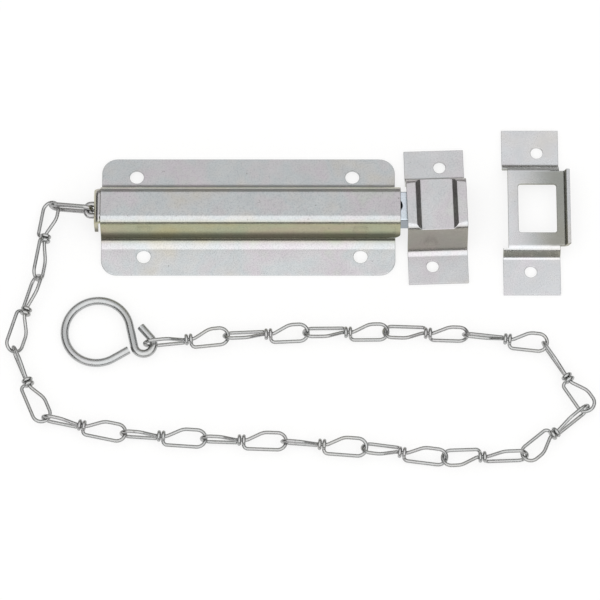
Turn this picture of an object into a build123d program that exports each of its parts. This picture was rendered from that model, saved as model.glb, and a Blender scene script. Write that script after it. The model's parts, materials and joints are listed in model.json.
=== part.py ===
from build123d import *
from math import acos, cos, degrees, radians, sin
import os

# Spring-loaded chain bolt with its two keepers, laid out on a flat surface.
# Millimetres, +Z up, X along the bolt towards its tip.
# The origin is the middle of the case's flat back.

os.makedirs("parts", exist_ok=True)

# Sheet and running clearances
sheet = 1.9  # thickness of every folded sheet piece
slide_clearance = 0.35  # bolt to the channel walls, each side
hole_clearance = 0.05  # staple leg in its hole in the bolt, radial
link_clearance = 0.15  # between two wires that hook together

# Case: one folded sheet, a channel between two screw flanges
plate_length = 152.4
plate_width = 64.0
plate_corner = 8.0
channel_height = 20.3
wall_lean = 2.2  # how far each wall spreads from top to foot
top_bend = 2.9  # bend radii, to the middle of the sheet
foot_bend = 4.6
mouth_overhang = 2.6  # channel past the plate, at the bolt's end
mouth_corner = 3.0
mouth_clear = 4.6  # free height under the overhanging walls
case_hole = 7.4
case_hole_span = 112.3  # along X
case_hole_inset = 10.0  # from the long edge of the plate
case_hole_shift = 2.05  # the two rows are set off along X, each way

# End flap that the spring bears on
flap_reach = 3.3  # outer face past the plate
flap_bend = 2.6
flap_gap = 4.0  # under the flap
flap_relief = 1.4  # flap is narrower than the bolt each side

# Bolt bar
bolt_width = 15.9
bolt_thick = 12.7
bolt_edge = 0.8
bolt_under_top = 0.6  # below the channel's ceiling
bolt_reach = 30.2  # past the case mouth when thrown
throw = 31.75
bevel_land = 4.0  # flat left at the tip above the bevel
recess_diameter = 9.0
recess_depth = 6.0
recess_back = 3.4  # centre of the recess inside the case mouth

# Compression spring between the flap and the bolt
spring_wire = 1.2
spring_outer = 12.6
spring_length = 60.0
spring_coils = 12

# Pull staple through the spring
staple_wire = 3.0
staple_legs = 6.3  # between leg centres
staple_slack = 0.25  # each side of the first link's wire
staple_grip = 14.0  # leg length inside the bolt
staple_slot_clearance = 0.4

# First link, a plain oval
oval_wire = 2.3
oval_height = 9.0
oval_pitch = 20.2  # from contact to contact
oval_heading = 168.5
oval_drop = 17.0  # degrees below level

# Knotted links: two loops of one wire, square to each other, and a wrapped neck
link_wire = 1.9
loop_width = 11.0
link_pitch = 41.0
short_loop = 20.35  # neck to the middle of the wire at the tip
neck_run = 2.6  # straight wire through the wraps
shoulder = 11.0  # where the loop reaches its full width
wrap_radius = 2.05
wrap_place = 1.15
chain_height = 5.6  # neck above the mounting plane

# How each link lies: heading in degrees from +X, and roll about its own length
link_headings = [-99.5, -107, -67, -12, -4, -2, -4.5, -7.5, 2, 39.5, 123, 173.5, 178, 180.5, 182.5, 186]
link_rolls = [-64, -33, -4, 0, 0, 0, 10, 47, 75, 84, 82, 62, 32, 44, 54, 90]

# Pull ring with its hooked eye
ring_wire = 4.2
ring_outer = 38.0
ring_gap_turn = 60.0  # the cut end is this far below level
ring_tail = 9.0
eye_radius = 5.0
eye_offset = (-24.1, 7.4)  # ring centre from the eye's centre
eye_open = 40.0
eye_tail = 8.6
ring_clearance = 0.2

# Surface keeper: a strap over the thrown bolt
keeper_width = 31.0
keeper_length = 73.5
keeper_gap = 3.2  # from the case mouth to the keeper
keeper_turn = 1.8
strap_top = 26.7
strap_run = 5.8  # each wall spreads this much
strap_lift = 2.3  # flared mouths above the middle panel
strap_panel = 16.0
strap_flare = 4.5
strap_bend = 4.0
keeper_hole = 6.4
keeper_hole_inset = 9.4
keeper_hole_shift = 2.9

# Window keeper: a raised strap with a square window and a curled lip
window_keeper_centre = (146.8, 2.6)
window_strap_width = 29.6
window_strap_length = 91.0
window_rise = 6.0
window_middle = 44.0
window_run = 3.0
window_bend = 2.6
window_notch = 2.7
window_width = 20.1
window_height = 27.0
window_corner = 1.5
window_offset = 3.3
lip_reach = 7.0
lip_rise = 4.0
lip_bend = 5.0
window_hole = 6.4
window_hole_inset = 12.5
window_hole_offset = 1.5
window_hole_shift = 2.1

# Heights and stations that follow from the sizes
half_sheet = sheet / 2
bolt_top = channel_height - sheet - bolt_under_top
bolt_axis = bolt_top - bolt_thick / 2
channel_half = bolt_width / 2 + slide_clearance + sheet
foot_half = channel_half + wall_lean
mouth = plate_length / 2 + mouth_overhang
flap_outside = -plate_length / 2 - flap_reach
flap_inside = flap_outside + sheet
bolt_rear = flap_inside + spring_length
bolt_tip = mouth + bolt_reach


def flat_strip(points, bends, plane, reach):
    """A folded sheet: the middle line of its section, thickened and extruded both ways."""
    with BuildPart() as strip:
        with BuildSketch(plane):
            with BuildLine():
                FilletPolyline(*points, radius=bends)
            trace(line_width=sheet)
        extrude(amount=reach, both=True)
    return strip.part


def wire_along(path, diameter):
    """Round wire swept along a path that starts at its first point."""
    with BuildPart() as wire:
        with BuildSketch(Plane(origin=path @ 0, z_dir=path % 0)):
            Circle(diameter / 2)
        sweep(path=path)
    return wire.part


def lie(origin, heading, roll=0.0, rise=0.0):
    """Plane of a link: x along its length, turned by heading, rise and roll."""
    along = Vector(1, 0, 0).rotate(Axis.Y, -rise).rotate(Axis.Z, heading)
    up = Vector(0, 0, 1).rotate(Axis.Y, -rise).rotate(Axis.Z, heading)
    return Plane(origin=origin, x_dir=along, z_dir=up.rotate(Axis((0, 0, 0), along), roll))


def save(part, name):
    """Label a finished piece and write it."""
    part.label = name
    export_step(part, f"parts/{name}.step")


# Case
ceiling = channel_height - half_sheet
case_section = [
    (-plate_width / 2, half_sheet),
    (-foot_half, half_sheet),
    (-channel_half + half_sheet, ceiling),
    (channel_half - half_sheet, ceiling),
    (foot_half, half_sheet),
    (plate_width / 2, half_sheet),
]
folded_case = flat_strip(
    case_section,
    [foot_bend, top_bend, top_bend, foot_bend],
    Plane.YZ,
    plate_length,
)
flap_section = [
    (-plate_length / 2 + flap_bend, ceiling),
    (flap_outside + half_sheet, ceiling),
    (flap_outside + half_sheet, flap_gap),
]
flap_half = bolt_width / 2 - flap_relief
flap = flat_strip(flap_section, flap_bend, Plane.XZ, flap_half)

with BuildPart() as case:
    add(folded_case)
    with BuildSketch(Plane.XY) as outline:
        RectangleRounded(plate_length, plate_width, plate_corner)
        with Locations((mouth / 2, 0)):
            Rectangle(mouth, 2 * (foot_half + sheet))
    extrude(amount=channel_height + sheet, mode=Mode.INTERSECT)
    with BuildSketch(Plane.XZ) as mouth_side:
        with BuildLine():
            Polyline(
                (plate_length / 2, 0),
                (plate_length / 2, mouth_clear),
                (mouth - mouth_corner, mouth_clear),
            )
            RadiusArc(
                (mouth - mouth_corner, mouth_clear),
                (mouth, mouth_clear + mouth_corner),
                -mouth_corner,
            )
            Polyline(
                (mouth, mouth_clear + mouth_corner),
                (mouth + sheet, mouth_clear + mouth_corner),
                (mouth + sheet, 0),
                (plate_length / 2, 0),
            )
        make_face()
    extrude(amount=plate_width, both=True, mode=Mode.SUBTRACT)
    add(flap)
    with BuildSketch(Plane.YZ.offset(flap_outside)) as staple_slot:
        with Locations((0, bolt_axis)):
            SlotCenterToCenter(staple_legs, staple_wire + 2 * staple_slot_clearance)
    extrude(amount=sheet, mode=Mode.SUBTRACT)
    for side in (1, -1):
        row = side * (plate_width / 2 - case_hole_inset)
        with Locations((-side * case_hole_shift, row, 0)):
            with GridLocations(case_hole_span, 0, 2, 1):
                Hole(case_hole / 2)
save(case.part, "case")

# Bolt
with BuildPart() as bolt:
    with BuildSketch(Plane.YZ.offset(bolt_rear)):
        with Locations((0, bolt_axis)):
            RectangleRounded(bolt_width, bolt_thick, bolt_edge)
    extrude(amount=bolt_tip - bolt_rear)
    with BuildSketch(Plane.XZ) as bevel:
        with BuildLine():
            Polyline(
                (bolt_tip, bolt_top - bevel_land),
                (bolt_tip, bolt_top - bolt_thick),
                (bolt_tip - bolt_thick + bevel_land, bolt_top - bolt_thick),
                close=True,
            )
        make_face()
    extrude(amount=bolt_width, both=True, mode=Mode.SUBTRACT)
    with Locations((mouth - recess_back, 0, bolt_top)):
        Hole(recess_diameter / 2, depth=recess_depth)
    with BuildSketch(Plane.YZ.offset(bolt_rear)) as leg_holes:
        with Locations((-staple_legs / 2, bolt_axis), (staple_legs / 2, bolt_axis)):
            Circle(staple_wire / 2 + hole_clearance)
    extrude(amount=staple_grip + 1, mode=Mode.SUBTRACT)
save(bolt.part, "bolt")

# Spring
spring_mean = (spring_outer - spring_wire) / 2
seat = spring_wire / 2 + link_clearance
spring_run = spring_length - 2 * seat
spring_seat = Plane(origin=(flap_inside + seat, 0, bolt_axis), x_dir=(0, 0, 1), z_dir=(1, 0, 0))
with BuildPart() as coiled_wire:
    with BuildLine():
        coil = Helix(spring_run / spring_coils, spring_run, spring_mean)
    with BuildSketch(Plane(origin=coil @ 0, z_dir=coil % 0)):
        Circle(spring_wire / 2)
    sweep(path=coil, is_frenet=True)
spring = coiled_wire.part.moved(Location(spring_seat))
save(spring, "spring")

# Pull staple
staple_end = flap_outside - oval_wire - 2 * staple_slack - staple_wire / 2
with BuildLine() as staple_path:
    FilletPolyline(
        (bolt_rear + staple_grip, staple_legs / 2, bolt_axis),
        (staple_end, staple_legs / 2, bolt_axis),
        (staple_end, -staple_legs / 2, bolt_axis),
        (bolt_rear + staple_grip, -staple_legs / 2, bolt_axis),
        radius=staple_legs / 2 - 0.6,
    )
staple = wire_along(staple_path.wire(), staple_wire)
save(staple, "pull_staple")

# Oval link: its far end drops from the staple to the chain's level
staple_centre = Vector(staple_end, 0, bolt_axis)
hook_reach = (staple_wire + oval_wire) / 2 + staple_slack
hook = staple_centre + hook_reach * Vector(cos(radians(oval_drop)), 0, sin(radians(oval_drop)))
oval_plane = lie(hook, oval_heading, rise=-oval_drop)
oval_bend = (oval_height - oval_wire) / 2
oval_length = oval_pitch + oval_wire
with BuildPart() as oval_link:
    with BuildSketch(Plane.XZ.offset(0)) as oval_outline:
        with Locations((oval_length / 2, 0)):
            SlotCenterToCenter(oval_length - 2 * oval_bend, oval_height)
            offset(amount=-oval_wire, mode=Mode.SUBTRACT)
    extrude(amount=oval_wire / 2, both=True)
    fillet(oval_link.edges(), oval_wire / 2 - 0.02)
oval_link_part = oval_link.part.moved(Location(oval_plane))
save(oval_link_part, "oval_link")


def loop_path(reach, plane):
    """Middle line of one loop: out of the neck, round the tip and back to the wrap."""
    half = (loop_width - link_wire) / 2
    tip = half - 0.02
    with BuildLine(plane) as path:
        FilletPolyline(
            (0, 0),
            (neck_run, 0),
            (shoulder, half),
            (reach, half),
            (reach, -half),
            (wrap_place, -half),
            (wrap_place, -wrap_radius),
            radius=[5.0, 9.0, tip, tip, 2.2],
        )
    return path.wire()


# Knotted link, made once and laid out sixteen times
long_loop = link_pitch + link_wire + link_clearance - short_loop
with BuildPart() as knotted_link:
    add(wire_along(loop_path(long_loop, Plane.XY), link_wire))
    add(wire_along(loop_path(short_loop, Plane((0, 0, 0), (-1, 0, 0), (0, 1, 0))), link_wire))
    for place in (-wrap_place, wrap_place):
        with Locations(Location((place, 0, 0), (0, 90, 0))):
            Torus(wrap_radius, link_wire / 2)

overlap = link_wire + link_clearance
apex = oval_plane.from_local_coords((oval_length, 0, 0))
tip = Vector(apex.X, apex.Y, chain_height)
previous_roll = 90.0
previous_hook = (oval_wire + link_wire) / 2 + link_clearance
heading_before = oval_heading
for number, (heading, roll) in enumerate(zip(link_headings, link_rolls), start=1):
    steep_here = abs(cos(radians(roll))) > abs(sin(radians(previous_roll)))
    turn_heading = heading_before if steep_here else heading
    start = tip - previous_hook * Vector(cos(radians(turn_heading)), sin(radians(turn_heading)))
    along = Vector(cos(radians(heading)), sin(radians(heading)))
    link_plane = lie(start + short_loop * along, heading, roll)
    link = knotted_link.part.moved(Location(link_plane))
    save(link, f"chain_link_{number:02d}")
    pivot = start if steep_here else tip
    print(f"link {number:2d} pivot {pivot.X:8.2f} {pivot.Y:8.2f}  heading {heading} roll {roll}")
    tip = start + (short_loop + long_loop) * along
    previous_roll = roll
    previous_hook = overlap
    heading_before = heading

# Pull ring, flat in its own plane with the last link's wire at its origin
ring_radius = (ring_outer - ring_wire) / 2
eye_centre = Vector((loop_width - link_wire) / 2 - eye_radius, 0)
ring_centre = eye_centre + Vector(*eye_offset)
spread = (eye_centre - ring_centre).length
cross_angle = degrees(acos((ring_radius + eye_radius) / spread))
leave_angle = cross_angle + Vector(1, 0).get_signed_angle(eye_centre - ring_centre, Vector(0, 0, 1))
leave = Vector(cos(radians(leave_angle)), sin(radians(leave_angle)))
ring_lift = chain_height - (loop_width / 2 - link_wire) + ring_wire / 2 + ring_clearance
ring_tilt = degrees((ring_lift - ring_wire / 2) / (ring_radius - ring_centre.X))
ring_plane = Plane(
    origin=(tip.X, tip.Y, ring_lift),
    x_dir=(cos(radians(ring_tilt)), 0, sin(radians(ring_tilt))),
    z_dir=(-sin(radians(ring_tilt)), 0, cos(radians(ring_tilt))),
)
with BuildLine() as ring_path:
    CenterArc(ring_centre, ring_radius, leave_angle, 360 - leave_angle - ring_gap_turn)
    Line(ring_centre + ring_radius * leave, eye_centre - eye_radius * leave)
    CenterArc(eye_centre, eye_radius, leave_angle + 180, 180 - leave_angle + eye_open)
    gap_angle = radians(-ring_gap_turn)
    gap_point = ring_centre + ring_radius * Vector(cos(gap_angle), sin(gap_angle))
    Line(gap_point, gap_point + ring_tail * Vector(-sin(gap_angle), cos(gap_angle)))
    open_angle = radians(eye_open)
    open_point = eye_centre + eye_radius * Vector(cos(open_angle), sin(open_angle))
    Line(open_point, open_point + eye_tail * Vector(-sin(open_angle), cos(open_angle)))
ring = wire_along(ring_path.wire(), ring_wire).moved(Location(ring_plane))
save(ring, "pull_ring")
print("ring pivot", tip, "tilt", ring_tilt)

# Surface keeper
keeper_rim = bolt_top + 0.5 + sheet + strap_lift
keeper_x = mouth + keeper_gap + keeper_width / 2


def strap_block(inset, floor):
    """Filled strap under a face that lies inset inside the outer one."""
    rise = keeper_rim - inset
    half_top = strap_top / 2 - inset
    half_foot = strap_top / 2 + strap_run - inset
    with BuildPart() as block:
        with BuildSketch(Plane.YZ):
            with BuildLine():
                FilletPolyline(
                    (-half_foot - strap_run, floor),
                    (-half_foot, floor),
                    (-half_top, rise),
                    (half_top, rise),
                    (half_foot, floor),
                    (half_foot + strap_run, floor),
                    radius=[strap_bend + inset, strap_bend - inset, strap_bend - inset, strap_bend + inset],
                )
                Polyline(
                    (half_foot + strap_run, floor),
                    (half_foot + strap_run, -sheet),
                    (-half_foot - strap_run, -sheet),
                    (-half_foot - strap_run, floor),
                )
            make_face()
        extrude(amount=keeper_width / 2, both=True)
        with BuildSketch(Plane.XZ):
            with BuildLine():
                FilletPolyline(
                    (-keeper_width / 2, rise),
                    (-keeper_width / 2 + strap_flare, rise),
                    (-strap_panel / 2, rise - strap_lift),
                    (strap_panel / 2, rise - strap_lift),
                    (keeper_width / 2 - strap_flare, rise),
                    (keeper_width / 2, rise),
                    radius=2.2,
                )
                Polyline(
                    (keeper_width / 2, rise),
                    (keeper_width / 2, -sheet),
                    (-keeper_width / 2, -sheet),
                    (-keeper_width / 2, rise),
                )
            make_face()
        extrude(amount=keeper_length, both=True, mode=Mode.INTERSECT)
    return block.part


keeper_cover = strap_block(0, sheet)
keeper_hollow = strap_block(sheet, 0)
with BuildPart() as surface_keeper:
    with BuildSketch():
        Rectangle(keeper_width, keeper_length)
    extrude(amount=sheet)
    add(keeper_cover)
    with BuildSketch(Plane.XY):
        Rectangle(2 * keeper_width, 2 * keeper_length)
    extrude(amount=-2 * sheet, mode=Mode.SUBTRACT)
    add(keeper_hollow, mode=Mode.SUBTRACT)
    for side in (1, -1):
        with Locations((side * keeper_hole_shift, side * (keeper_length / 2 - keeper_hole_inset), 0)):
            Hole(keeper_hole / 2)
surface_keeper_part = surface_keeper.part.moved(Location((keeper_x, 0, 0), (0, 0, keeper_turn)))
save(surface_keeper_part, "surface_keeper")

# Window keeper
window_level = window_rise + half_sheet
window_foot = window_middle / 2 + window_run
window_section = [
    (-window_strap_length / 2, half_sheet),
    (-window_foot, half_sheet),
    (-window_middle / 2, window_level),
    (window_middle / 2, window_level),
    (window_foot, half_sheet),
    (window_strap_length / 2, half_sheet),
]
window_strap = flat_strip(window_section, window_bend, Plane.YZ, window_strap_width / 2)
lip_section = [
    (window_width / 2, window_level),
    (window_strap_width / 2 + 1, window_level),
    (window_strap_width / 2 + lip_reach, window_level + lip_rise),
]
lip_half = window_middle / 2 - window_bend / 2
window_lip = flat_strip(lip_section, lip_bend, Plane.XZ, lip_half)
with BuildPart() as window_keeper:
    add(window_strap)
    add(window_lip)
    with Locations((-window_strap_width / 2, 0, 0)):
        Box(2 * window_notch, window_middle, 4 * window_rise, mode=Mode.SUBTRACT)
    with BuildSketch():
        with Locations((window_offset, 0)):
            RectangleRounded(window_width, window_height, window_corner)
    extrude(amount=4 * window_rise, mode=Mode.SUBTRACT)
    for side in (1, -1):
        hole_x = window_hole_offset + side * window_hole_shift
        with Locations((hole_x, side * (window_strap_length / 2 - window_hole_inset), 0)):
            Hole(window_hole / 2)
window_keeper_part = window_keeper.part.moved(Location((*window_keeper_centre, 0)))
save(window_keeper_part, "window_keeper")
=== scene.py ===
# %% [markdown]
# # Chain bolt with its two keepers
# A sprung bolt in a folded zinc-plated case, pulled back by a chain of knotted
# wire links with a ring at its end. The strap keeper sits over the bolt's tip,
# and the window keeper lies beside it. The set lies flat and is seen from above.
#
# The solids come in as a fixed frame, in metres. This file adds the camera, the
# light, the roundness of the bends and the surface of every piece.

# %% Load the frame
import json
from math import cos, pi, radians, sin

import bmesh
import bpy
import numpy as np
from mathutils import Matrix, Vector


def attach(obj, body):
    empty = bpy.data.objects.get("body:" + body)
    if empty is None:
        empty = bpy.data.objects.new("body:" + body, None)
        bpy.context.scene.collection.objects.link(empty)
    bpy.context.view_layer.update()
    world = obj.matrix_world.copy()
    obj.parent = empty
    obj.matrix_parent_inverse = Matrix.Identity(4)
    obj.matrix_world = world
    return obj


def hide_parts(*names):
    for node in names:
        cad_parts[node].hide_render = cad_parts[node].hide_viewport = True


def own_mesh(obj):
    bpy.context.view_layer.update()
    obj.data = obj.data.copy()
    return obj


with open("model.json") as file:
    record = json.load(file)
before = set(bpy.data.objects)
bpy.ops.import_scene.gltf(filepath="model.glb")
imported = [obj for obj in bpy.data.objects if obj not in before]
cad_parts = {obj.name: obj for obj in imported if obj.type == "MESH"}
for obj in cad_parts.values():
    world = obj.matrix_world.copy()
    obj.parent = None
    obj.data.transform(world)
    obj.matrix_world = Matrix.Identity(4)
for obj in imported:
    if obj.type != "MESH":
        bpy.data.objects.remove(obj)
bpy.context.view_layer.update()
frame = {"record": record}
MM = 0.001

# %% [markdown]
# ## Camera
# The set was seen from well above, leaning a little to the near side, through a
# long lens. One target point on the mounting plane and one distance fix it. The
# width that the frame covers at the target then gives the focal length.

# %% Camera
LEAN = radians(19.7)  # from straight above
DISTANCE = 2.2
FRAME_WIDTH = 0.3098
SENSOR = 36.0
target = Vector((26.85 * MM, -45.3 * MM, 0.0))

camera_data = bpy.data.cameras.new("camera")
camera_data.sensor_width = SENSOR
camera_data.lens = SENSOR * DISTANCE / FRAME_WIDTH
camera = bpy.data.objects.new("camera", camera_data)
camera.location = target + DISTANCE * Vector((0.0, -sin(LEAN), cos(LEAN)))
camera.rotation_euler = (LEAN, 0.0, 0.0)
bpy.context.collection.objects.link(camera)
bpy.context.scene.camera = camera
bpy.context.scene.view_settings.view_transform = "Standard"
print("lens", round(camera_data.lens, 1), "mm")

# %% [markdown]
# ## Floor and light
# Bright zinc shows its surroundings, so the surroundings matter more than the
# lamps. Around the set there are a pale floor, a white sky, a few upright cards
# and one wide softbox. The floor comes first: a plain sheet a hair below the
# mounting plane, so that the flanges rest on it without a flicker.


# %% Floor
def new_mesh_object(name, bm):
    """Turn a bmesh into an object at the origin."""
    mesh = bpy.data.meshes.new(name)
    bm.to_mesh(mesh)
    bm.free()
    piece = bpy.data.objects.new(name, mesh)
    bpy.context.collection.objects.link(piece)
    return piece


FLOOR_SIZE = 3.0
FLOOR_DROP = 0.05 * MM
bm = bmesh.new()
bmesh.ops.create_grid(bm, x_segments=1, y_segments=1, size=FLOOR_SIZE)
bmesh.ops.translate(bm, vec=(0.0, 0.0, -FLOOR_DROP), verts=bm.verts)
floor = new_mesh_object("floor", bm)
print("floor reaches", FLOOR_SIZE, "m each way")

# %% [markdown]
# Four cards stand round the set. Only the metal sees them: the far one, tall and
# grey, tones the flat faces, and the three black ones give the bends and the
# wires their dark sides. They cast no shadow and dim no light on the floor.

# %% Dark cards
CARD_REACH = 1.3


def dark_card(name, bearing, height, width):
    """An upright card that faces the set from a bearing in degrees from +X."""
    bm = bmesh.new()
    bmesh.ops.create_grid(bm, x_segments=1, y_segments=1, size=0.5)
    bmesh.ops.scale(bm, vec=(width, height, 1.0), verts=bm.verts)
    upright = Matrix.Rotation(radians(90.0), 4, "X")
    facing = Matrix.Rotation(radians(bearing + 90.0), 4, "Z")
    place = Matrix.Translation(
        (CARD_REACH * cos(radians(bearing)), CARD_REACH * sin(radians(bearing)), height / 2)
    )
    bmesh.ops.transform(bm, matrix=place @ facing @ upright, verts=bm.verts)
    card = new_mesh_object(name, bm)
    card.visible_camera = False
    card.visible_shadow = False
    card.visible_diffuse = False
    return card


cards = [
    dark_card("near_card", -90.0, 0.42, 2.6),
    dark_card("far_card", 90.0, 1.5, 2.6),
    dark_card("left_card", 180.0, 1.0, 2.4),
    dark_card("right_card", 0.0, 1.0, 2.4),
]
print("cards:", [card.name for card in cards])

# %% [markdown]
# The sky lights the set a little warm and a little dim. Seen directly or in the
# metal it is pure white, so the background and the reflections stay clean.

# %% Sky
SKY_LIGHT = 0.9
world = bpy.data.worlds.new("pale_sky")
bpy.context.scene.world = world
world.use_nodes = True
sky = world.node_tree
sky.nodes.clear()
sky_out = sky.nodes.new("ShaderNodeOutputWorld")
sky_light = sky.nodes.new("ShaderNodeBackground")
sky_light.inputs["Color"].default_value = (1.0, 0.99, 0.975, 1.0)
sky_light.inputs["Strength"].default_value = SKY_LIGHT
sky_seen = sky.nodes.new("ShaderNodeBackground")
sky_seen.inputs["Color"].default_value = (1.0, 1.0, 1.0, 1.0)
sky_mix = sky.nodes.new("ShaderNodeMixShader")


def seen_directly(tree):
    """1 for camera, glossy and transmission rays, 0 for the rays that light a surface."""
    path = tree.nodes.new("ShaderNodeLightPath")
    either = path.outputs["Is Camera Ray"]
    for ray in ("Is Glossy Ray", "Is Transmission Ray"):
        step = tree.nodes.new("ShaderNodeMath")
        step.operation = "MAXIMUM"
        tree.links.new(either, step.inputs[0])
        tree.links.new(path.outputs[ray], step.inputs[1])
        either = step.outputs[0]
    return either


sky.links.new(seen_directly(sky), sky_mix.inputs["Fac"])
sky.links.new(sky_light.outputs[0], sky_mix.inputs[1])
sky.links.new(sky_seen.outputs[0], sky_mix.inputs[2])
sky.links.new(sky_mix.outputs[0], sky_out.inputs["Surface"])
print("sky light", SKY_LIGHT)

# %% [markdown]
# One wide softbox hangs over the near side. It puts the broad bright band along
# each bend of the sheet.


# %% Softbox
def softbox(name, place, size, radiance):
    """A long area lamp that faces the target."""
    lamp = bpy.data.lights.new(name, "AREA")
    lamp.shape = "RECTANGLE"
    lamp.size, lamp.size_y = size
    lamp.energy = radiance * pi * size[0] * size[1]
    holder = bpy.data.objects.new(name, lamp)
    holder.location = place
    facing = (target - Vector(place)).to_track_quat("-Z", "Y")
    holder.rotation_euler = facing.to_euler()
    holder.visible_camera = False
    bpy.context.collection.objects.link(holder)
    return holder


near_softbox = softbox(
    "near_softbox", place=(0.03, -0.594, 1.01), size=(2.2, 1.83), radiance=0.6
)
print("softbox", near_softbox.name, [round(value, 2) for value in near_softbox.location])

# %% [markdown]
# ## Shared effects
# Three effects come back on most pieces, so each is a node group with named
# inputs. The zinc film gives the faint green, pink and straw bloom of clear
# passivated zinc, and it also lays painted shade, tint and light on the sheet. The
# drawn grain gives the fine lines of rolled sheet and the fine grain of wire. The
# specks give the few dark marks that handling leaves.


# %% Helpers for node groups
def group_with(name, inputs, outputs):
    """A shader node group with float, colour and vector sockets."""
    tree = bpy.data.node_groups.new(name, "ShaderNodeTree")
    for socket, kind, value in inputs:
        made = tree.interface.new_socket(socket, in_out="INPUT", socket_type=kind)
        if value is not None:
            made.default_value = value
    for socket, kind in outputs:
        tree.interface.new_socket(socket, in_out="OUTPUT", socket_type=kind)
    entry = tree.nodes.new("NodeGroupInput")
    leave = tree.nodes.new("NodeGroupOutput")
    return tree, entry, leave


def mix_colours(tree, blend, factor, first, second):
    """A colour mix whose inputs are links or plain values."""
    node = tree.nodes.new("ShaderNodeMix")
    node.data_type = "RGBA"
    node.blend_type = blend
    for index, value in ((0, factor), (6, first), (7, second)):
        if hasattr(value, "is_output"):
            tree.links.new(value, node.inputs[index])
        else:
            node.inputs[index].default_value = value
    return node.outputs[2]


def noise(tree, vector, scale, detail=2.0, roughness=0.5):
    """Noise on a given vector."""
    node = tree.nodes.new("ShaderNodeTexNoise")
    node.inputs["Scale"].default_value = scale
    node.inputs["Detail"].default_value = detail
    node.inputs["Roughness"].default_value = roughness
    tree.links.new(vector, node.inputs["Vector"])
    return node.outputs["Fac"]


def ramp(tree, value, stops):
    """A colour ramp through the given stops."""
    node = tree.nodes.new("ShaderNodeValToRGB")
    band = node.color_ramp
    while len(band.elements) < len(stops):
        band.elements.new(0.5)
    for element, (place, colour) in zip(band.elements, stops):
        element.position = place
        element.color = (*colour, 1.0)
    tree.links.new(value, node.inputs["Fac"])
    return node.outputs["Color"]


def split_xyz(tree, vector):
    """The X, Y and Z of a vector, by name."""
    node = tree.nodes.new("ShaderNodeSeparateXYZ")
    tree.links.new(vector, node.inputs[0])
    return node.outputs


def fade(tree, value, start, stop):
    """0 before start, 1 after stop, in millimetres along one coordinate."""
    node = tree.nodes.new("ShaderNodeMapRange")
    node.interpolation_type = "SMOOTHSTEP"
    node.inputs["From Min"].default_value = start * MM
    node.inputs["From Max"].default_value = stop * MM
    tree.links.new(value, node.inputs["Value"])
    return node.outputs["Result"]


def times(tree, *values):
    """Product of the given outputs."""
    product = values[0]
    for value in values[1:]:
        node = tree.nodes.new("ShaderNodeMath")
        node.operation = "MULTIPLY"
        tree.links.new(product, node.inputs[0])
        tree.links.new(value, node.inputs[1])
        product = node.outputs[0]
    return product


print("node helpers: group_with, mix_colours, noise, ramp, split_xyz, fade, times")

# %% [markdown]
# ### Zinc film and painted shade
# The film lays bloom, cloud and frost over a base colour, one after another.
# Steep faces take painted shade and a painted reflection tint: a normal that points
# sideways marks them, and the sheared edges of the flanges, low on the floor, are left
# out. Painted shade darkens the channel's walls towards their foot, and painted light makes the near
# flange paler.

# %% Zinc film and painted shade
film, film_in, film_out = group_with(
    "zinc_film",
    [
        ("Vector", "NodeSocketVector", None),
        ("Normal", "NodeSocketVector", None),
        ("Base", "NodeSocketColor", (0.55, 0.55, 0.55, 1.0)),
        ("Bloom", "NodeSocketFloat", 0.5),
        ("Frost", "NodeSocketFloat", 0.5),
        ("WallShade", "NodeSocketColor", (1.0, 1.0, 1.0, 1.0)),
        ("FoldShade", "NodeSocketFloat", 0.0),
        ("NearLight", "NodeSocketFloat", 0.0),
    ],
    [("Color", "NodeSocketColor"), ("Cloud", "NodeSocketFloat")],
)
bloom_noise = noise(film, film_in.outputs["Vector"], 30.0, 3.0, 0.6)
bloom_tint = ramp(
    film,
    bloom_noise,
    [
        (0.32, (0.98, 0.95, 0.84)),
        (0.42, (0.95, 0.97, 0.95)),
        (0.49, (0.89, 0.96, 0.97)),
        (0.55, (0.95, 0.95, 0.96)),
        (0.62, (0.97, 0.91, 0.96)),
        (0.72, (0.90, 0.97, 0.88)),
    ],
)
cloud_noise = noise(film, film_in.outputs["Vector"], 90.0, 4.0, 0.6)
cloud_tone = ramp(film, cloud_noise, [(0.3, (0.93, 0.93, 0.93)), (0.7, (1.0, 1.0, 1.0))])
frost_noise = noise(film, film_in.outputs["Vector"], 1500.0, 2.0, 0.7)
frost_tone = ramp(film, frost_noise, [(0.33, (0.72, 0.72, 0.74)), (0.55, (1.0, 1.0, 1.0))])
LEVEL, STEEP = 0.92, 0.45  # upward share of the normal on a flat face and on a full wall
WALL_FOOT = (2.0, 3.2)  # heights, in millimetres, over which the painted wall shade and tint set in
FOLD_UPPER = (12.5, 6.8)  # painted shade darkens the walls downwards between these
FOLD_LOWER = (1.5, 5.5)  # and clear again above the flange
NEAR_SIDE = (-15.0, -20.0)  # the painted light on the near flange begins here, along Y
# painted shade at the foot of the channel's walls
FOLD_PAINTED_SHADE = (0.30, 0.30, 0.30, 1.0)
# painted light on the near flange
NEAR_PAINTED_LIGHT = (1.24, 1.24, 1.24, 1.0)
upward = film.nodes.new("ShaderNodeMath")
upward.operation = "ABSOLUTE"
film.links.new(split_xyz(film, film_in.outputs["Normal"])["Z"], upward.inputs[0])
steep = film.nodes.new("ShaderNodeMapRange")
steep.inputs["From Min"].default_value = LEVEL
steep.inputs["From Max"].default_value = STEEP
film.links.new(upward.outputs[0], steep.inputs["Value"])
place_xyz = split_xyz(film, film_in.outputs["Vector"])
# painted shade and reflection tint on the steep faces
wall_shade_mask = times(film, steep.outputs["Result"], fade(film, place_xyz["Z"], *WALL_FOOT))
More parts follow.
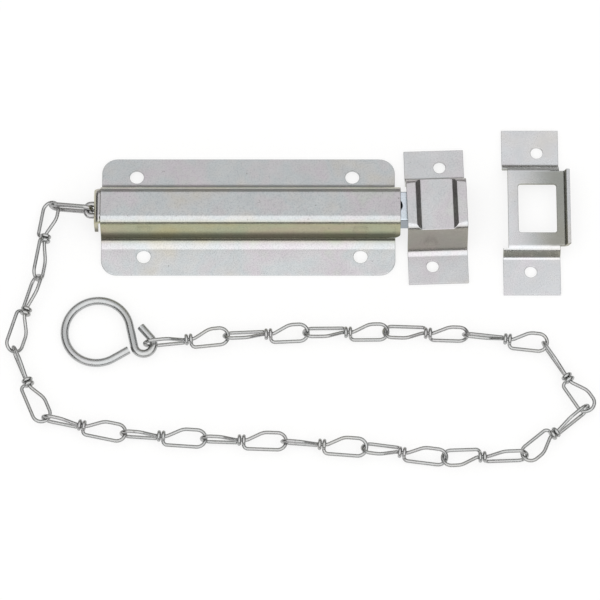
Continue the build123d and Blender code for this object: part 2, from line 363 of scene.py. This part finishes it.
# painted shade, darker towards the foot of the walls
fold_shade_mask = times(
    film,
    steep.outputs["Result"],
    fade(film, place_xyz["Z"], *FOLD_UPPER),
    fade(film, place_xyz["Z"], *FOLD_LOWER),
    film_in.outputs["FoldShade"],
)
# painted light on the near flange
near_light_mask = times(film, fade(film, place_xyz["Y"], *NEAR_SIDE), film_in.outputs["NearLight"])
tinted = mix_colours(film, "MULTIPLY", film_in.outputs["Bloom"], film_in.outputs["Base"], bloom_tint)
clouded = mix_colours(film, "MULTIPLY", 1.0, tinted, cloud_tone)
frosted = mix_colours(film, "MULTIPLY", film_in.outputs["Frost"], clouded, frost_tone)
# painted shade and tint on the steep faces
wall_shaded = mix_colours(film, "MULTIPLY", wall_shade_mask, frosted, film_in.outputs["WallShade"])
# painted shade at the foot of the walls
folded = mix_colours(film, "MULTIPLY", fold_shade_mask, wall_shaded, FOLD_PAINTED_SHADE)
# painted light on the near flange
paler = mix_colours(film, "MULTIPLY", near_light_mask, folded, NEAR_PAINTED_LIGHT)
film.links.new(paler, film_out.inputs["Color"])
film.links.new(cloud_noise, film_out.inputs["Cloud"])
print("zinc film:", len(film.nodes), "nodes")

# %% [markdown]
# ### Drawn grain
# Stretched noise makes the fine lines. They are shallow ridges in the light, not
# a change of colour.

# %% Drawn grain
grain, grain_in, grain_out = group_with(
    "drawn_grain",
    [("Vector", "NodeSocketVector", None), ("Strength", "NodeSocketFloat", 0.2)],
    [("Normal", "NodeSocketVector")],
)
fine_lines = noise(grain, grain_in.outputs["Vector"], 900.0, 3.0, 0.7)
grain_bump = grain.nodes.new("ShaderNodeBump")
grain_bump.inputs["Distance"].default_value = 0.04 * MM
grain.links.new(grain_in.outputs["Strength"], grain_bump.inputs["Strength"])
grain.links.new(fine_lines, grain_bump.inputs["Height"])
grain.links.new(grain_bump.outputs["Normal"], grain_out.inputs["Normal"])
print("drawn grain:", len(grain.nodes), "nodes")

# %% [markdown]
# ### Specks
# Only the highest peaks of a noise become specks, so they are few and small.

# %% Specks
specks, specks_in, specks_out = group_with(
    "handling_specks",
    [
        ("Vector", "NodeSocketVector", None),
        ("Color", "NodeSocketColor", (0.6, 0.6, 0.6, 1.0)),
        ("Amount", "NodeSocketFloat", 0.5),
    ],
    [("Color", "NodeSocketColor")],
)
speck_noise = noise(specks, specks_in.outputs["Vector"], 420.0, 2.0, 0.5)
speck_mask = ramp(specks, speck_noise, [(0.72, (0.0, 0.0, 0.0)), (0.78, (1.0, 1.0, 1.0))])
speck_weight = times(specks, speck_mask, specks_in.outputs["Amount"])
SPECK_DARK = (0.22, 0.21, 0.20, 1.0)
spotted = mix_colours(specks, "MIX", speck_weight, specks_in.outputs["Color"], SPECK_DARK)
specks.links.new(spotted, specks_out.inputs["Color"])
print("groups:", [tree.name for tree in bpy.data.node_groups])

# %% [markdown]
# ## Finishes
# Every piece is plated steel, but each takes the light its own way. Sheet has
# lines along the way it was rolled and a broad bloom. Wire is duller, with an
# even grain. The bolt's bar is a cold blue white, because the plating is brighter
# on a drawn bar. One recipe makes them all from a handful of settings.


# %% Recipe of a finish
def link_node(tree, group, vector):
    """Place a shared effect and feed it the pattern's coordinates."""
    node = tree.nodes.new("ShaderNodeGroup")
    node.node_tree = group
    tree.links.new(vector, node.inputs["Vector"])
    return node


ROUGH_SWING = 0.05  # the film is smoother in its clear patches, duller in its cloudy ones


def plated(
    name, base, bloom, frost, wall, rough, stretch, grain_depth, speck_amount, fold_shade=0.0, near=0.0
):
    """A zinc-plated finish. stretch scales the grain; wall, fold and near lay painted shade and tint
    on the steep faces, painted shade at the walls' foot and painted light on the near flange.
    """
    material = bpy.data.materials.new(name)
    material.use_nodes = True
    tree = material.node_tree
    shader = tree.nodes["Principled BSDF"]
    shader.inputs["Metallic"].default_value = 1.0
    place = tree.nodes.new("ShaderNodeTexCoord")
    along = tree.nodes.new("ShaderNodeMapping")
    along.inputs["Scale"].default_value = stretch
    tree.links.new(place.outputs["Object"], along.inputs["Vector"])
    film_node = link_node(tree, film, place.outputs["Object"])
    tree.links.new(place.outputs["Normal"], film_node.inputs["Normal"])
    film_node.inputs["Base"].default_value = (*base, 1.0)
    film_node.inputs["Bloom"].default_value = bloom
    film_node.inputs["Frost"].default_value = frost
    film_node.inputs["WallShade"].default_value = (*wall, 1.0)
    film_node.inputs["FoldShade"].default_value = fold_shade
    film_node.inputs["NearLight"].default_value = near
    speck_node = link_node(tree, specks, place.outputs["Object"])
    speck_node.inputs["Amount"].default_value = speck_amount
    tree.links.new(film_node.outputs["Color"], speck_node.inputs["Color"])
    tree.links.new(speck_node.outputs["Color"], shader.inputs["Base Color"])
    grain_node = link_node(tree, grain, along.outputs["Vector"])
    grain_node.inputs["Strength"].default_value = grain_depth
    tree.links.new(grain_node.outputs["Normal"], shader.inputs["Normal"])
    rougher = tree.nodes.new("ShaderNodeMapRange")
    rougher.inputs["To Min"].default_value = rough - ROUGH_SWING
    rougher.inputs["To Max"].default_value = rough + ROUGH_SWING
    tree.links.new(film_node.outputs["Cloud"], rougher.inputs["Value"])
    tree.links.new(rougher.outputs["Result"], shader.inputs["Roughness"])
    return material


print("roughness swings by", ROUGH_SWING, "each way")

# %% [markdown]
# Seven finishes follow. The case has the most bloom, a painted straw tint on its
# walls, painted shade at their foot and painted light on its near flange. The two
# keepers are paler sheet from another batch, with painted shade on their walls, and
# the bar has painted shade on its sides. The chain, the ring and the spring are
# three sorts of wire.

# %% The seven finishes
CASE_WALL_PAINTED_TINT = (0.90, 0.88, 0.58)  # painted reflection tint on the case's walls
# painted shade on the steep faces of the keepers and of the bar
KEEPER_WALL_PAINTED_SHADE = (0.62, 0.61, 0.52)
BAR_SIDE_PAINTED_SHADE = (0.52, 0.53, 0.54)
PLAIN = (1.0, 1.0, 1.0)  # no tint
ALONG_X = (0.06, 1.0, 1.0)  # grain drawn out along X
ALONG_Y = (1.0, 0.08, 1.0)
EVEN = (1.0, 1.0, 1.0)
case_zinc = plated(
    "case_zinc",
    base=(0.555, 0.55, 0.555), bloom=0.75, frost=0.6, wall=CASE_WALL_PAINTED_TINT, rough=0.22,
    stretch=ALONG_X, grain_depth=0.12, speck_amount=0.6,
    # painted shade at the walls' foot, and painted light on the near flange
    fold_shade=1.0, near=1.0,
)
keeper_zinc = plated(
    "keeper_zinc",
    base=(0.62, 0.61, 0.62), bloom=0.5, frost=0.45, wall=KEEPER_WALL_PAINTED_SHADE, rough=0.25,
    stretch=ALONG_Y, grain_depth=0.12, speck_amount=0.4,
)
window_zinc = plated(
    "window_zinc",
    base=(0.68, 0.675, 0.69), bloom=0.4, frost=0.4, wall=KEEPER_WALL_PAINTED_SHADE, rough=0.27,
    stretch=ALONG_Y, grain_depth=0.12, speck_amount=0.3,
)
bar_zinc = plated(
    "bar_zinc",
    base=(0.70, 0.76, 0.82), bloom=0.3, frost=0.5, wall=BAR_SIDE_PAINTED_SHADE, rough=0.25,
    stretch=ALONG_X, grain_depth=0.2, speck_amount=0.2,
)
chain_zinc = plated(
    "chain_zinc",
    base=(0.46, 0.46, 0.455), bloom=0.2, frost=0.4, wall=PLAIN, rough=0.26,
    stretch=EVEN, grain_depth=0.3, speck_amount=0.6,
)
ring_zinc = plated(
    "ring_zinc",
    base=(0.50, 0.505, 0.505), bloom=0.2, frost=0.4, wall=PLAIN, rough=0.28,
    stretch=EVEN, grain_depth=0.3, speck_amount=0.5,
)
spring_steel = plated(
    "spring_steel",
    base=(0.40, 0.39, 0.38), bloom=0.1, frost=0.3, wall=PLAIN, rough=0.38,
    stretch=EVEN, grain_depth=0.3, speck_amount=0.3,
)
sheet_finishes = (case_zinc, keeper_zinc, window_zinc)
other_finishes = (bar_zinc, chain_zinc, ring_zinc, spring_steel)
print("finishes:", [finish.name for finish in sheet_finishes + other_finishes])

# %% [markdown]
# The window keeper's raised panel is a special case. Painted shade darkens it
# towards its lip, and the lip and the flanges stay pale. Four soft edges, two
# along X and two along Y, mark the shaded part.

# %% Painted shade on the window keeper's panel
WINDOW_CENTRE = Vector((146.8, 2.6, 0.0))  # in millimetres
# painted shade over the raised panel
PANEL_PAINTED_SHADE = (0.48, 0.485, 0.44, 1.0)
PANEL_SHADE_ALONG = (-13.0, 15.0)  # along X from the centre, the painted shade ever darker
PANEL_SHADE_END = (17.6, 17.0)
PANEL_SHADE_SIDE = (22.0, 19.5)  # along Y from the centre, each way


def paint_panel_shade(material):
    """Paint shade over the raised panel, darker towards the lip."""
    tree = material.node_tree
    shader = tree.nodes["Principled BSDF"]
    colour = shader.inputs["Base Color"].links[0].from_socket
    place = split_xyz(tree, tree.nodes.new("ShaderNodeTexCoord").outputs["Object"])
    x, y = WINDOW_CENTRE.x, WINDOW_CENTRE.y
    mask = times(
        tree,
        fade(tree, place["X"], x + PANEL_SHADE_ALONG[0], x + PANEL_SHADE_ALONG[1]),
        fade(tree, place["X"], x + PANEL_SHADE_END[0], x + PANEL_SHADE_END[1]),
        fade(tree, place["Y"], y - PANEL_SHADE_SIDE[0], y - PANEL_SHADE_SIDE[1]),
        fade(tree, place["Y"], y + PANEL_SHADE_SIDE[0], y + PANEL_SHADE_SIDE[1]),
    )
    dark = mix_colours(tree, "MULTIPLY", mask, colour, PANEL_PAINTED_SHADE)
    tree.links.new(dark, shader.inputs["Base Color"])


paint_panel_shade(window_zinc)
print("panel_shade_painted:", window_zinc.name)

# %% [markdown]
# ## Smooth copies of the solids
# A solid arrives as loose flat triangles, which show as facets in a bright
# metal. Its shape is right, so each piece is a copy of it with the doubles
# merged and the faces shaded smooth between its true edges. Sheared sheet never
# has knife edges, so the sheet pieces get a hairline bevel as well.

# %% Smooth copies
SHEET_PIECES = ("case", "surface_keeper", "window_keeper")
EDGE_ANGLE = radians(32.0)
FLAT_ANGLE = radians(0.3)
WELD = 0.001 * MM
HAIRLINE = 0.18 * MM


def mark_edges(bm):
    """Sharp where two faces meet at more than the edge angle, smooth elsewhere."""
    for edge in bm.edges:
        if len(edge.link_faces) == 2:
            edge.smooth = edge.calc_face_angle(0.0) < EDGE_ANGLE


def smooth_copy(node):
    """A merged, smooth-shaded copy of a solid, as a bmesh."""
    bm = bmesh.new()
    bm.from_mesh(bpy.data.objects[node].data)
    bmesh.ops.remove_doubles(bm, verts=bm.verts, dist=WELD)
    for face in bm.faces:
        face.smooth = True
    mark_edges(bm)
    return bm


def cut_across(bm, axis, places):
    """Score the faces along planes square to an axis, so that a bend has edges to turn on."""
    normal = Vector((0.0, 0.0, 0.0))
    normal[axis] = 1.0
    for place in places:
        everything = bm.verts[:] + bm.edges[:] + bm.faces[:]
        bmesh.ops.bisect_plane(bm, geom=everything, plane_co=normal * place * MM, plane_no=normal)


def steps(start, stop, count):
    """Evenly spaced values, both ends included."""
    return [start + (stop - start) * i / (count - 1) for i in range(count)]


print("sheet pieces:", SHEET_PIECES)

# %% [markdown]
# ## Press-brake bends
# A press brake leaves generous bends: the light runs along them as broad bands.
# A bend is described by the middle line of the sheet, before and after. Each
# vertex keeps its depth in the sheet and its share of the length between two
# anchors, so the thickness stays even all the way round.


# %% Bend a folded sheet anew
ARC_POINTS = 40
LINE_STEP = 0.05


def folded_line(corners, radii):
    """Middle line of a folded sheet: lengths, points and normals, in millimetres."""
    corners = [np.array(corner, float) for corner in corners]
    points = [corners[0]]
    for before, corner, after, radius in zip(corners, corners[1:], corners[2:], radii):
        back = (before - corner) / np.linalg.norm(before - corner)
        on = (after - corner) / np.linalg.norm(after - corner)
        half = np.arccos(np.clip(back @ on, -1.0, 1.0)) / 2
        middle = (back + on) / np.linalg.norm(back + on)
        centre = corner + middle * radius / np.sin(half)
        first = corner + back * radius / np.tan(half) - centre
        turn = np.pi - 2 * half
        turn = np.copysign(turn, back[0] * on[1] - back[1] * on[0])
        for share in np.linspace(0.0, 1.0, ARC_POINTS):
            a = -turn * share
            across = first[0] * np.cos(a) - first[1] * np.sin(a)
            upward = first[0] * np.sin(a) + first[1] * np.cos(a)
            points.append(centre + [across, upward])
    points.append(corners[-1])
    points = np.array(points)
    runs = np.r_[0.0, np.cumsum(np.linalg.norm(np.diff(points, axis=0), axis=1))]
    lengths = np.arange(0.0, runs[-1], LINE_STEP)
    even = np.stack([np.interp(lengths, runs, points[:, i]) for i in (0, 1)], axis=1)
    along = np.gradient(even, LINE_STEP, axis=0)
    along /= np.linalg.norm(along, axis=1)[:, None]
    return lengths, even, np.stack([-along[:, 1], along[:, 0]], axis=1)


def refold(bm, axis, old, new, anchors, centre, picked):
    """Move a sheet's vertices from one folded line to another. The section lies across one axis."""
    old_lengths, old_points, old_normals = old
    new_lengths, new_points, new_normals = new
    for vert in bm.verts:
        if not picked(vert.co / MM):
            continue
        offset = vert.co[axis] / MM - centre
        side = -1.0 if offset < 0.0 else 1.0
        spot = np.array([abs(offset), vert.co[2] / MM])
        near = int(np.argmin(np.linalg.norm(old_points - spot, axis=1)))
        away = spot - old_points[near]
        depth = away @ old_normals[near]
        tangent = np.array([old_normals[near][1], -old_normals[near][0]])
        length = np.interp(old_lengths[near] + away @ tangent, *anchors)
        place = [np.interp(length, new_lengths, new_points[:, i]) for i in (0, 1)]
        normal = [np.interp(length, new_lengths, new_normals[:, i]) for i in (0, 1)]
        vert.co[axis] = (centre + side * (place[0] + depth * normal[0])) * MM
        vert.co[2] = (place[1] + depth * normal[1]) * MM


print("middle lines are sampled every", LINE_STEP, "mm")

# %% [markdown]
# ### The case
# Half of its section, from the plate's edge up to the middle of the channel's
# top, is bent anew and mirrored. The end flap grows from its slot outwards, and
# its top corners are rounded off like the channel's bends.

# %% Case bends
CASE_CORNERS = [(32.0, 0.95), (12.4, 0.95), (9.25, 19.35), (0.0, 19.35)]
CRISP_BENDS = [4.6, 2.9]  # radii at the foot and at the top of the wall
BROAD_BENDS = [7.4, 3.9]
FLANGE_KEPT = 10.8  # length from the plate's edge that stays as it is
WALL_KEPT = 10.5  # height on the wall, and distance from the middle, that stay
TOP_KEPT = 4.5
case_old = folded_line(CASE_CORNERS, CRISP_BENDS)
case_new = folded_line(CASE_CORNERS, BROAD_BENDS)


def length_at(line, place, index):
    """Length along a line where one coordinate first passes a value."""
    lengths, points, _ = line
    return float(lengths[np.argmin(np.abs(points[:, index] - place))])


def case_anchor_lengths(line):
    """Lengths along the section at the points that keep their places."""
    wall = length_at(line, WALL_KEPT, 1)
    top = length_at(line, TOP_KEPT, 0)
    return [0.0, FLANGE_KEPT, wall, top, float(line[0][-1])]


case_anchors = (case_anchor_lengths(case_old), case_anchor_lengths(case_new))
print("length at each anchor, before:", [round(value, 2) for value in case_anchors[0]])
print("length at each anchor, after: ", [round(value, 2) for value in case_anchors[1]])

# %% [markdown]
# Score lines give each bend enough edges to turn on. The flap begins just past
# the plate's end, so one more line is scored there and the two parts are moved
# apart from each other.

# %% Reshape the case
PLATE_END = -76.2
SEAM = PLATE_END - 0.04  # scored line where the flap begins
CHANNEL_FROM = PLATE_END - 0.01
FLAP_TO = PLATE_END - 0.03
FOOT_SCORES = steps(13.0, 21.0, 13)
TOP_SCORES = steps(4.6, 6.5, 8)
WALL_SCORES = steps(5.0, 15.0, 6)
FLAP_HALF = 6.55  # half widths of the flap, before and after
FLAP_WIDE = 9.3
SLOT_EDGE = 5.3
TOP_FLAT = 5.4
TOP_ROUND = 4.85
SHOULDER_FOOT = 12.0
SHOULDER_RISE = 6.0


def widen_flap(bm):
    """Widen the flap outside its slot, and round off its top corners."""
    for vert in bm.verts:
        reach = abs(vert.co.y / MM)
        if vert.co.x / MM > FLAP_TO or reach <= SLOT_EDGE:
            continue
        wide = SLOT_EDGE + (reach - SLOT_EDGE) * (FLAP_WIDE - SLOT_EDGE) / (FLAP_HALF - SLOT_EDGE)
        past = max(0.0, wide - TOP_FLAT)
        drop = TOP_ROUND - (TOP_ROUND**2 - past**2) ** 0.5
        high = min(1.0, max(0.0, (vert.co.z / MM - SHOULDER_FOOT) / SHOULDER_RISE))
        vert.co.y = wide * MM * (1.0 if vert.co.y > 0.0 else -1.0)
        vert.co.z -= drop * high * MM


def reshape_case(bm):
    """Broad bends along the channel, and an end flap as wide as the channel's top."""
    for side in (-1.0, 1.0):
        cut_across(bm, 1, [side * y for y in FOOT_SCORES])
        cut_across(bm, 1, [side * y for y in TOP_SCORES])
    cut_across(bm, 2, WALL_SCORES)
    cut_across(bm, 0, [SEAM])
    refold(bm, 1, case_old, case_new, case_anchors, 0.0, lambda co: co.x > CHANNEL_FROM)
    widen_flap(bm)


print("flap grows by", round(2 * (FLAP_WIDE - FLAP_HALF), 1), "mm")

# %% [markdown]
# ### The window keeper
# Its lip turns up steeply at the far end of the panel, in a tighter bend.

# %% Window keeper's lip
LIP_SCORES = steps(14.0, 21.0, 15)
LIP_FROM = 11.0
PANEL_HALF = 20.75
PANEL_FROM = 5.0
lip_old = folded_line([(10.05, 6.95), (15.8, 6.95), (21.8, 10.95)], [5.0])
lip_new = folded_line([(10.05, 6.95), (18.0, 6.95), (19.3, 11.0)], [2.2])
lip_anchors = ([0.0, 1.0, float(lip_old[0][-1])], [0.0, 1.0, float(lip_new[0][-1])])


def on_lip(co):
    """Whether a point, in millimetres, lies on the panel's far part or its lip."""
    across = abs(co.y - WINDOW_CENTRE.y)
    return co.x > WINDOW_CENTRE.x + LIP_FROM and across < PANEL_HALF and co.z > PANEL_FROM


def reshape_window(bm):
    """A lip that turns up steeply at the far end of the panel."""
    cut_across(bm, 0, [WINDOW_CENTRE.x + x for x in LIP_SCORES])
    refold(bm, 0, lip_old, lip_new, lip_anchors, WINDOW_CENTRE.x, on_lip)


reshape_of = {"case": reshape_case, "window_keeper": reshape_window}
print("reshaped:", list(reshape_of))

# %% [markdown]
# ## Dress each solid
# Each solid gives way to its smooth copy, which rides on the same body and wears
# its finish. The links are all of chain wire.


# %% Put the pieces together
RESHAPE_WELD = 0.004 * MM
NORMAL_WEIGHT = 80
finish_of = {
    "case": case_zinc,
    "surface_keeper": keeper_zinc,
    "window_keeper": window_zinc,
    "bolt": bar_zinc,
    "spring": spring_steel,
    "pull_ring": ring_zinc,
}


def dress(node, body, finish):
    """Stand a smooth copy in for a solid, with its finish."""
    bm = smooth_copy(node)
    if node in SHEET_PIECES:
        bmesh.ops.dissolve_limit(bm, angle_limit=FLAT_ANGLE, verts=bm.verts, edges=bm.edges)
        if node in reshape_of:
            reshape_of[node](bm)
            bmesh.ops.remove_doubles(bm, verts=bm.verts, dist=RESHAPE_WELD)
            mark_edges(bm)
        sharp = [edge for edge in bm.edges if not edge.smooth]
        bmesh.ops.bevel(
            bm, geom=sharp, offset=HAIRLINE, segments=2, profile=0.5, affect="EDGES", material=-1
        )
        for face in bm.faces:
            face.smooth = True
    piece = new_mesh_object(f"{node}_plated", bm)
    piece.data.materials.append(finish)
    even = piece.modifiers.new("even_normals", "WEIGHTED_NORMAL")
    even.keep_sharp = True
    even.weight = NORMAL_WEIGHT
    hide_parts(node)
    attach(piece, body)
    return piece


pieces = {}
for body, nodes in frame["record"]["behaviour"]["bodies"].items():
    for node in nodes:
        pieces[node] = dress(node, body, finish_of.get(node, chain_zinc))
print("dressed", len(pieces), "solids")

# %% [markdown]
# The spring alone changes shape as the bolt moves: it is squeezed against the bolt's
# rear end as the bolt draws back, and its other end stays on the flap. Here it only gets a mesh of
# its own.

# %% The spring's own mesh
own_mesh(pieces["spring"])

# %% [markdown]
# ## Floor and card finishes
# The floor is white paper. To the camera most of its white comes from the paper's
# own tone, so that the holes and the window look as clear as they do on a light
# table, and the rest keeps the soft shadow.

# %% Paper
PAPER_GLOW = 0.75
paper = bpy.data.materials.new("floor_paper")
paper.use_nodes = True
paper_tree = paper.node_tree
paper_shader = paper_tree.nodes["Principled BSDF"]
paper_shader.inputs["Roughness"].default_value = 0.9
paper_shader.inputs["Specular IOR Level"].default_value = 0.0
paper_place = paper_tree.nodes.new("ShaderNodeTexCoord")
paper_tone = ramp(
    paper_tree,
    noise(paper_tree, paper_place.outputs["Object"], 300.0),
    [(0.3, (0.93, 0.93, 0.93)), (0.7, (0.95, 0.95, 0.95))],
)
paper_tree.links.new(paper_tone, paper_shader.inputs["Base Color"])
paper_glow = paper_tree.nodes.new("ShaderNodeEmission")
paper_mix = paper_tree.nodes.new("ShaderNodeMixShader")
paper_share = paper_tree.nodes.new("ShaderNodeMath")
paper_share.operation = "MULTIPLY"
paper_share.inputs[1].default_value = PAPER_GLOW
paper_tree.links.new(seen_directly(paper_tree), paper_share.inputs[0])
paper_tree.links.new(paper_share.outputs[0], paper_mix.inputs["Fac"])
paper_tree.links.new(paper_shader.outputs[0], paper_mix.inputs[1])
paper_tree.links.new(paper_glow.outputs[0], paper_mix.inputs[2])
paper_tree.links.new(paper_mix.outputs[0], paper_tree.nodes["Material Output"].inputs["Surface"])
floor.data.materials.append(paper)
print("paper glow", PAPER_GLOW)

# %% [markdown]
# The cards are felt with a faint nap: grey on the far one, black on the others.


# %% Felt
def felt(name, tone):
    """Dull felt of one tone with a faint nap."""
    material = bpy.data.materials.new(name)
    material.use_nodes = True
    tree = material.node_tree
    shader = tree.nodes["Principled BSDF"]
    shader.inputs["Roughness"].default_value = 1.0
    place = tree.nodes.new("ShaderNodeTexCoord")
    nap = ramp(
        tree,
        noise(tree, place.outputs["Object"], 60.0),
        [(0.3, (tone * 0.95, tone * 0.94, tone * 0.9)), (0.7, (tone, tone * 0.99, tone * 0.95))],
    )
    tree.links.new(nap, shader.inputs["Base Color"])
    return material


grey_felt = felt("grey_felt", 0.36)
black_felt = felt("black_felt", 0.10)
for card in cards:
    card.data.materials.append(grey_felt if card.name == "far_card" else black_felt)
print("felt:", grey_felt.name, black_felt.name)
